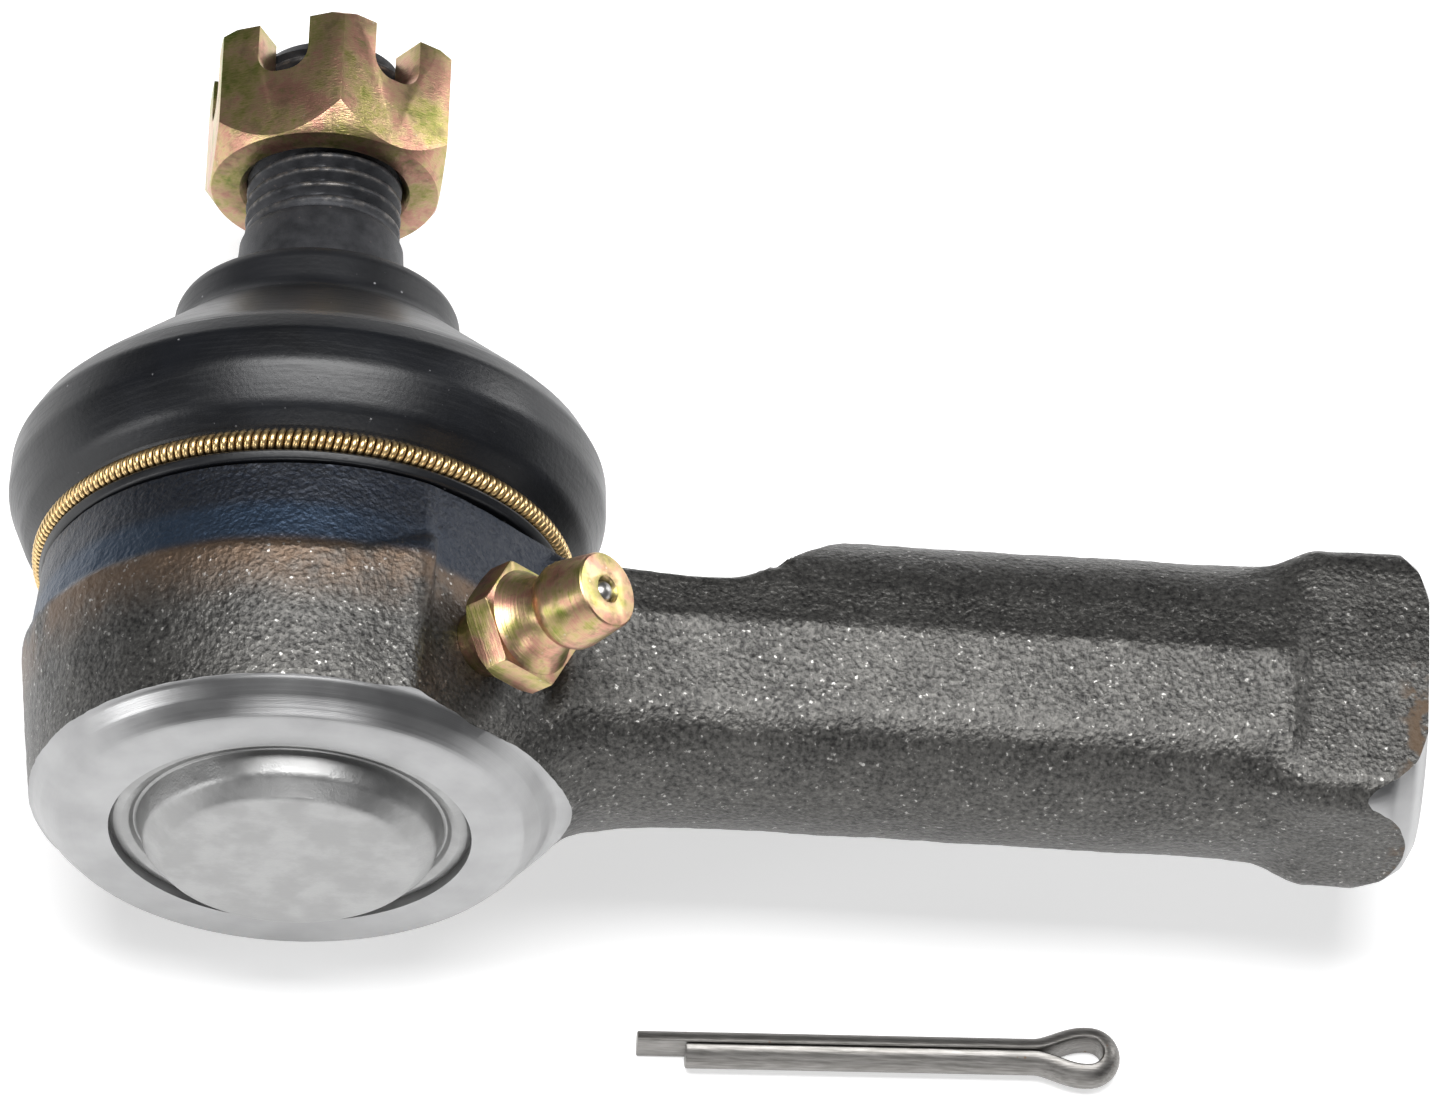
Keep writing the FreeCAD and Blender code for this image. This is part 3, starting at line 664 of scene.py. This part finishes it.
waist = [ball_arc()[-1], (WAIST_R, 13.2, 1.2), (WAIST_R, 19.4, 3.0), (8.3, 24.6, 1.5)]
taper = [(taper_radius(26.0), 26.0), (taper_radius(41.5), 41.5)]
taper += [(7.15, THREAD_START_Y, 0.3), (THREAD_R, 42.4)]
threaded = [(THREAD_R, y) for y in np.arange(42.45, STUD_END_Y - 0.9, THREAD_PITCH / 14)]
stud_end = [(THREAD_R, STUD_END_Y - 0.85), (6.2, STUD_END_Y, 0.15), (2.0, STUD_END_Y), (0, STUD_END_Y - 1.1)]
stud_outline = ball_arc()[:-1] + filleted(waist + taper) + threaded + filleted(stud_end)
rolled_thread = thread_skin(THREAD_R, 6.12, THREAD_PITCH, 42.4, STUD_END_Y + 0.5)
black_steel = phosphated_steel()
stud = lathe("ball_stud_turning", stud_outline, 112, radius_at=rolled_thread, material=black_steel)
drill = [(0, -9), (CROSS_HOLE_R, -9), (CROSS_HOLE_R, 9), (0, 9)]
cross_hole = lathe("cross_hole", drill, 32, material=black_steel)
cross_turn = math.radians(NUT_TURN_DEG + 90)
aimed(cross_hole, (math.sin(cross_turn), 0, math.cos(cross_turn)), (0, CROSS_HOLE_Y, 0))
cut_away(stud, cross_hole)
smooth_shaded(stud, 50.0)
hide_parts("ball_stud")
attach(stud, "stud")

# ------------------------------------------------------------------------------------------------
# Dust boot. Moulded black rubber: a skirt in the socket's groove, a full bulge and a thick collar on
# the taper. It is made as two pieces that meet at the mould's parting line, because it bends there.


def moulded_rubber():
    """Black rubber with a satin skin, dust specks, and faint scratches round it."""
    finish = Finish("moulded_rubber", {"Specular IOR Level": 0.42})
    skin = finish.grain(0.5)
    clouds = finish.grain(6.0)
    radius = finish.radius_about(finish.x, finish.z)
    rub = finish.grain(1.0, finish.point(finish.x * 0.25, finish.y * 4.0, finish.z * 0.25), 4.0)
    dust = finish.cells(1.7).between(0.085, 0.05) * finish.grain(2.5).between(0.52, 0.62)
    lint = finish.cells(0.8).between(0.07, 0.03) * finish.grain(5.0).between(0.5, 0.68)
    collar = radius.between(14.5, 12.8) * finish.y.between(26.0, 28.0)
    colour = finish.ramp(clouds, [(0.3, (0.002, 0.0024, 0.0034)), (0.7, (0.004, 0.0048, 0.007))])
    colour = finish.mix(collar * clouds * 0.5, colour, (0.015, 0.015, 0.017))
    colour = finish.mix((dust * 0.5).math("MAXIMUM", lint * 0.3), colour, (0.42, 0.42, 0.44))
    finish.set("Base Color", colour)
    finish.set("Roughness", 0.3 + clouds * 0.1 + rub.between(0.45, 0.7) * 0.08 + collar * 0.1)
    finish.bump(skin * 0.02 + rub * 0.006 + dust * 0.05)
    return finish.material


MOULD_LINE_Y = 20.2
MOULD_LINE_R = 24.95
MOULD_LINE_INNER_R = 23.5

skirt = [(24.0, 10.9), (23.6, 18.4, 2.0), (MOULD_LINE_INNER_R, MOULD_LINE_Y), (MOULD_LINE_R, MOULD_LINE_Y)]
skirt += [(25.3, 19.95, 0.2), (26.5, 17.9, 1.8), (26.65, 14.6, 3.0), (25.2, 10.9, 3.0), (23.7, 9.5, 0.5)]
skirt += [(23.4, 9.1, 0.2), (22.3, 9.0, 0.2), (22.15, 8.3, 0.4), (22.3, 7.6, 0.2), (23.6, 7.25, 0.25)]
skirt += [(23.2, 6.35, 0.45), (21.0, 6.35, 0.25), (21.0, 10.5, 0.2), (22.1, 10.5), (22.2, 12.7, 0.4)]
crown = [(MOULD_LINE_INNER_R, MOULD_LINE_Y), (12.2, 27.0, 1.0), (9.6, 25.4, 0.5)]
crown += [(taper_radius(26.3) + 0.1, 26.3)]
crown += [(taper_radius(34.6) + 0.12, 34.5, 0.2), (8.6, 34.85, 0.2), (12.3, 34.8, 0.8), (12.8, 33.8, 1.5)]
crown += [(12.85, 30.5, 2.4), (14.6, 29.3, 2.4), (24.4, 20.9, 6.0), (MOULD_LINE_R, MOULD_LINE_Y)]
rubber = moulded_rubber()
boot_skirt = lathe("boot_skirt", filleted(skirt, True), 192, True, material=rubber)
boot_crown = lathe("boot_crown", filleted(crown, True), 192, True, material=rubber)
for half in (boot_skirt, boot_crown):
    smooth_shaded(half, 40.0)
    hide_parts("dust_boot")
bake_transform(boot_skirt)
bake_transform(boot_crown)

# ------------------------------------------------------------------------------------------------
# Garter spring. A long close-wound coil of brassed wire, hooked end to end into a ring that pulls
# the boot's skirt into its groove.

GARTER_R = 23.2
GARTER_Y = 8.3
GARTER_TURNS = 207


def brassed_wire():
    """Bright drawn wire with a brass wash, dull and brown down between its turns."""
    finish = Finish("brassed_wire", {"Metallic": 1.0})
    radius = finish.radius_about(finish.x, finish.z)
    off_ring = finish.radius_about(radius - GARTER_R, finish.y - GARTER_Y)
    crest = off_ring.between(0.72, 0.98)
    tarnish = finish.grain(2.5)
    colour = finish.mix(crest, (0.16, 0.09, 0.03), (0.78, 0.56, 0.27))
    colour = finish.mix(tarnish.between(0.5, 0.75) * 0.4, colour, (0.5, 0.36, 0.2))
    finish.set("Base Color", colour)
    finish.set("Roughness", 0.42 - crest * 0.16 + tarnish * 0.08)
    return finish.material


class Growth:
    """A Geometry Nodes tree under construction, with one number input for each size."""

    def __init__(self, name, sizes):
        self.tree = bpy.data.node_groups.new(name, "GeometryNodeTree")
        self.sizes = sizes
        interface = self.tree.interface
        interface.new_socket("Geometry", in_out="OUTPUT", socket_type="NodeSocketGeometry")
        for size, value in sizes.items():
            socket = interface.new_socket(size, in_out="INPUT", socket_type="NodeSocketFloat")
            socket.default_value = value
        group = self.tree.nodes.new("NodeGroupInput")
        self.inputs = {size: group.outputs[size] for size in sizes}

    def node(self, kind, settings, values, output=0):
        """Adds a node. Its settings come first, then the values or links of its sockets."""
        node = self.tree.nodes.new(kind)
        for name, value in settings.items():
            setattr(node, name, value)
        for name, value in values.items():
            if isinstance(value, bpy.types.NodeSocket):
                self.tree.links.new(value, node.inputs[name])
            else:
                node.inputs[name].default_value = value
        return node.outputs[output]

    def maths(self, operation, first, second=0.0):
        return self.node("ShaderNodeMath", {"operation": operation}, {0: first, 1: second})

    def grown(self, piece, geometry, material):
        """Realizes the geometry, gives it its material, and makes the piece that plain mesh."""
        real = self.node("GeometryNodeRealizeInstances", {}, {0: geometry})
        finished = self.node("GeometryNodeSetMaterial", {}, {"Geometry": real, "Material": material})
        output = self.tree.nodes.new("NodeGroupOutput")
        self.tree.links.new(finished, output.inputs[0])
        modifier = piece.modifiers.new(self.tree.name, "NODES")
        modifier.node_group = self.tree
        for socket in self.tree.interface.items_tree:
            if socket.in_out == "INPUT":
                modifier[socket.identifier] = self.sizes[socket.name]
        return applied(piece)


def garter_coil():
    """A coil wound round a circle: each point's turn and place follow from its number along the ring."""
    sizes = {"ring radius": GARTER_R * MM, "height": GARTER_Y * MM, "turns": float(GARTER_TURNS)}
    sizes.update({"coil radius": 0.66 * MM, "wire radius": 0.34 * MM})
    coil = Growth("garter_coil", sizes)
    points_per_turn = 12
    count = GARTER_TURNS * points_per_turn
    round_curve = "GeometryNodeCurvePrimitiveCircle"
    circle = coil.node(round_curve, {"mode": "RADIUS"}, {"Resolution": count, "Radius": 1.0})
    number = coil.node("GeometryNodeInputIndex", {}, {})
    along = coil.maths("MULTIPLY", number, 2 * math.pi / count)
    winding = coil.maths("MULTIPLY", along, coil.inputs["turns"])
    out = coil.maths("MULTIPLY", coil.maths("COSINE", winding), coil.inputs["coil radius"])
    up = coil.maths("MULTIPLY", coil.maths("SINE", winding), coil.inputs["coil radius"])
    radius = coil.maths("ADD", out, coil.inputs["ring radius"])
    across = coil.maths("MULTIPLY", coil.maths("SINE", along), radius)
    upward = coil.maths("MULTIPLY", coil.maths("COSINE", along), radius)
    level = coil.maths("ADD", up, coil.inputs["height"])
    place = coil.node("ShaderNodeCombineXYZ", {}, {"X": across, "Y": level, "Z": upward})
    wound = coil.node("GeometryNodeSetPosition", {}, {"Geometry": circle, "Position": place})
    wire_sizes = {"Resolution": 8, "Radius": coil.inputs["wire radius"]}
    wire = coil.node(round_curve, {"mode": "RADIUS"}, wire_sizes)
    skin = coil.node("GeometryNodeCurveToMesh", {}, {"Curve": wound, "Profile Curve": wire})
    return coil.grown(new_piece("garter_coil", np.zeros((0, 3)), []), skin, brassed_wire())


garter = garter_coil()
smooth_shaded(garter, 60.0)
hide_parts("boot_garter_spring")
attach(garter, "housing")

# ------------------------------------------------------------------------------------------------
# Castle nut. Cold-formed hexagon, slotted for the cotter pin, zinc-plated and passivated yellow. The
# passivation shows olive, gold and pink in turn, as its film thickens and thins.


def yellow_passivated(name, patch, marks_at):
    """Yellow chromate over zinc: thin films of olive, gold and pink, over fine machining marks."""
    finish = Finish(name, {"Metallic": 1.0})
    marks = finish.grain(1.0, marks_at(finish), 3.0)
    film = finish.grain(patch, detail=4.0, roughness=0.6)
    stain = finish.grain(patch * 0.35, detail=4.0)
    speck = finish.cells(1.1).between(0.13, 0.06) * stain.between(0.5, 0.65)
    tints = [(0.34, (0.19, 0.23, 0.045)), (0.43, (0.38, 0.33, 0.12)), (0.5, (0.5, 0.36, 0.2))]
    tints += [(0.58, (0.5, 0.25, 0.19)), (0.68, (0.27, 0.25, 0.1))]
    colour = finish.ramp(film * 0.75 + marks * 0.25, tints)
    colour = finish.mix(stain.between(0.5, 0.7) * 0.5, colour, (0.17, 0.14, 0.07))
    colour = finish.mix(speck * 0.4, colour, (0.7, 0.68, 0.62))
    finish.set("Base Color", colour)
    finish.set("Roughness", 0.24 + stain * 0.14 + marks * 0.1)
    finish.bump(marks * 0.03 + stain * 0.015)
    return finish.material


def rolled_marks(finish):
    """Short marks across the nut's flats, stretched round the nut."""
    return finish.point(finish.x * 2.0, finish.y * 9.0, finish.z * 2.0)


def turned_marks(finish):
    """Rings round the grease fitting's axis, by the distance along it."""
    along = finish.x * GREASE_WAY[0] + finish.z * GREASE_WAY[2]
    return finish.point(along * 7.0, finish.y * 0.15, 0.0)


def eased_copy(node, name, ease, material):
    """A copy of a CAD node with its faces joined up and its edges eased by so many millimetres."""
    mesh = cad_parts[node].data.copy()
    mesh.materials.clear()
    mesh.materials.append(material)
    piece = bpy.data.objects.new(name, mesh)
    bpy.context.collection.objects.link(piece)
    work = bmesh.new()
    work.from_mesh(mesh)
    bmesh.ops.remove_doubles(work, verts=work.verts[:], dist=0.002 * MM)
    for face in work.faces:
        face.material_index = 0
    bmesh.ops.dissolve_limit(work, angle_limit=math.radians(0.5), verts=work.verts[:], edges=work.edges[:])
    work.to_mesh(mesh)
    work.free()
    bevel = piece.modifiers.new("ease", "BEVEL")
    bevel.width = ease * MM
    bevel.segments = 2
    bevel.limit_method = "ANGLE"
    bevel.angle_limit = math.radians(28)
    bevel.use_clamp_overlap = True
    return smooth_shaded(applied(piece))


nut_finish = yellow_passivated("passivated_nut", 4.5, rolled_marks)
nut = eased_copy("castle_nut", "castle_nut_forming", 0.3, nut_finish)
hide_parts("castle_nut")
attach(nut, "nut")

# ------------------------------------------------------------------------------------------------
# Grease fitting. Turned from hexagon bar, plated like the nut and screwed into the barrel's
# pocket. A spring inside holds a steel ball against its mouth, and gives way as the ball is pushed in.

fitting_finish = yellow_passivated("passivated_fitting", 3.0, turned_marks)
fitting = eased_copy("grease_fitting_body", "grease_fitting_turning", 0.07, fitting_finish)
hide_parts("grease_fitting_body")
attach(fitting, "housing")
refinish("grease_fitting_ball", hardened)
refinish("grease_fitting_spring", hardened)

check_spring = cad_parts["grease_fitting_spring"].copy()
check_spring.data = check_spring.data.copy()
check_spring.name = "check_spring_coil"
bpy.context.collection.objects.link(check_spring)
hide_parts("grease_fitting_spring")
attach(check_spring, "housing")
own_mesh(check_spring)

# ------------------------------------------------------------------------------------------------
# Cotter pin. Half-round wire bent back on itself, so that its flats meet, with an open eye at the
# bend and one leg left longer. It lies loose on the table.


def drawn_wire():
    """Plain drawn steel: grey, streaked along its length, with freckles of rust."""
    finish = Finish("drawn_wire", {"Metallic": 1.0})
    streaks = finish.grain(1.0, finish.point(finish.x * 0.4, finish.y * 5.0, finish.z * 5.0), 4.0)
    patches = finish.grain(2.0, detail=5.0)
    freckles = finish.cells(1.3).between(0.12, 0.05) * patches.between(0.48, 0.62)
    colour = finish.ramp(streaks, [(0.3, (0.14, 0.135, 0.125)), (0.7, (0.26, 0.25, 0.24))])
    colour = finish.mix(freckles * 0.6, colour, (0.2, 0.1, 0.04))
    finish.set("Base Color", colour)
    finish.set("Roughness", 0.36 + patches * 0.16 + freckles * 0.2)
    finish.bump(streaks * 0.02 + patches * 0.03)
    return finish.material


PIN_R = 1.6
PIN_LENGTH = 43.3
PIN_START = (32.2, -24.3)
PIN_TURN_DEG = 2.4
EYE_R = 1.3
SLIT = 0.06
SHORT_LEG = 4.3


def pin_path():
    """The flat side's line, from the short leg's end round the eye to the long leg's end."""
    eye_x = PIN_LENGTH - PIN_R - EYE_R
    swell = 4.6
    flare = [eye_x - 0.3 - swell + swell * i / 10 for i in range(11)]
    side = [(x, SLIT + (EYE_R - SLIT) * float(smooth_step(np.array(x), flare[0], flare[-1]))) for x in flare]
    bend = [(eye_x + EYE_R * math.cos(a), EYE_R * math.sin(a)) for a in np.linspace(1.4, -1.4, 19)]
    short_leg = [(x, -y) for x, y in side[::-1]] + [(SHORT_LEG, -SLIT)]
    return [(0.0, SLIT)] + side + bend + short_leg


def bent_pin():
    """Sweeps the half-round section along the pin's line, flat side inwards."""
    path = np.array(pin_path())
    ahead = np.gradient(path, axis=0)
    ahead /= np.linalg.norm(ahead, axis=1)[:, None]
    left = np.stack([-ahead[:, 1], ahead[:, 0]], axis=1)
    rise = [math.radians(a) for a in range(-84, 85, 12)]
    arc = [(PIN_R * math.cos(a), PIN_R * math.sin(a)) for a in rise]
    section = [(0.0, -PIN_R * 0.97), *arc, (0.0, PIN_R * 0.97)]
    points = [(*(p + side * out), up) for p, side in zip(path, left) for out, up in section]
    size = len(section)
    faces = [list(range(size)), list(range(len(points) - size, len(points)))]
    for ring in range(len(path) - 1):
        for k in range(size):
            a, b = ring * size + k, ring * size + (k + 1) % size
            faces.append([a, b, b + size, a + size])
    return points, faces


table_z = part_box("cotter_pin")[0].z
pin = new_piece("cotter_pin_wire", *bent_pin(), drawn_wire())
face_outwards(pin)
pin_place = Matrix.Translation((PIN_START[0] * MM, PIN_START[1] * MM, table_z + PIN_R * MM))
pin.data.transform(pin_place @ Matrix.Rotation(math.radians(PIN_TURN_DEG), 4, "Z"))
ends = pin.modifiers.new("ease", "BEVEL")
ends.width = 0.2 * MM
ends.segments = 2
ends.limit_method = "ANGLE"
ends.angle_limit = math.radians(50)
smooth_shaded(applied(pin), 40.0)
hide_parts("cotter_pin")
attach(pin, "loose_pin")

# ------------------------------------------------------------------------------------------------
# Studio. A white table, soft lamps above, on both sides and in front, and a long lens that looks
# down on the part from its cap's side.


def table_top():
    """White card that also glows, so that shadows on it stay faint."""
    glow = {"Emission Color": (1.0, 1.0, 1.0, 1.0), "Emission Strength": 0.5}
    finish = Finish("table_top", {"Roughness": 0.7, **glow})
    shade = finish.grain(40.0)
    finish.set("Base Color", finish.ramp(shade, [(0.0, (0.78, 0.78, 0.78)), (1.0, (0.8, 0.8, 0.8))]))
    return finish.material


def lamp(name, place, aim, size, power):
    """A soft box that faces its aim. Places and sizes are in millimetres and power in watts."""
    light = bpy.data.lights.new(name, "AREA")
    light.shape = "RECTANGLE"
    light.size, light.size_y = (side * MM for side in size)
    light.energy = power
    holder = bpy.data.objects.new(name, light)
    bpy.context.collection.objects.link(holder)
    holder.location = Vector(place) * MM
    holder.rotation_euler = (Vector(aim) - Vector(place)).to_track_quat("-Z", "Y").to_euler()


TABLE_REACH = 900.0
table_corners = [(-1, -1), (1, -1), (1, 1), (-1, 1)]
table_points = [(x * TABLE_REACH, y * TABLE_REACH, table_z / MM - 0.05) for x, y in table_corners]
new_piece("table", table_points, [[0, 1, 2, 3]], table_top())

PART_MIDDLE = (30, 10, 0)
lamp("overhead_box", (10, 0, 430), (10, 0, 0), (420, 200), 3.0)
lamp("left_box", (-400, -200, 120), PART_MIDDLE, (90, 220), 0.5)
lamp("right_box", (400, 200, 110), PART_MIDDLE, (110, 160), 0.45)
lamp("front_box", (20, -420, 160), PART_MIDDLE, (240, 60), 0.35)

walls = bpy.data.worlds.new("studio_walls")
walls.use_nodes = True
background = walls.node_tree.nodes["Background"]
background.inputs["Color"].default_value = (0.95, 0.96, 1.0, 1.0)
background.inputs["Strength"].default_value = 0.12
bpy.context.scene.world = walls
bpy.context.scene.view_settings.view_transform = "Standard"

LOOK_DOWN_DEG = 59.97
SWING_DEG = -4.38
TILT_DEG = 7.18
AIM_RIGHT = 37.44
AIM_UP = 9.01
DISTANCE = 1239.2
FOCAL_LENGTH = 348.8
lens = bpy.data.cameras.new("long_lens")
lens.lens = FOCAL_LENGTH
lens.sensor_width = 36.0
camera = bpy.data.objects.new("long_lens", lens)
bpy.context.collection.objects.link(camera)
look_down = Matrix.Rotation(math.radians(90 - LOOK_DOWN_DEG), 4, "X")
swing = Matrix.Rotation(math.radians(SWING_DEG), 4, "Z")
turn = swing @ look_down @ Matrix.Rotation(math.radians(TILT_DEG), 4, "Z")
camera.matrix_world = turn @ Matrix.Translation(Vector((AIM_RIGHT, AIM_UP, DISTANCE)) * MM)
bpy.context.scene.camera = camera
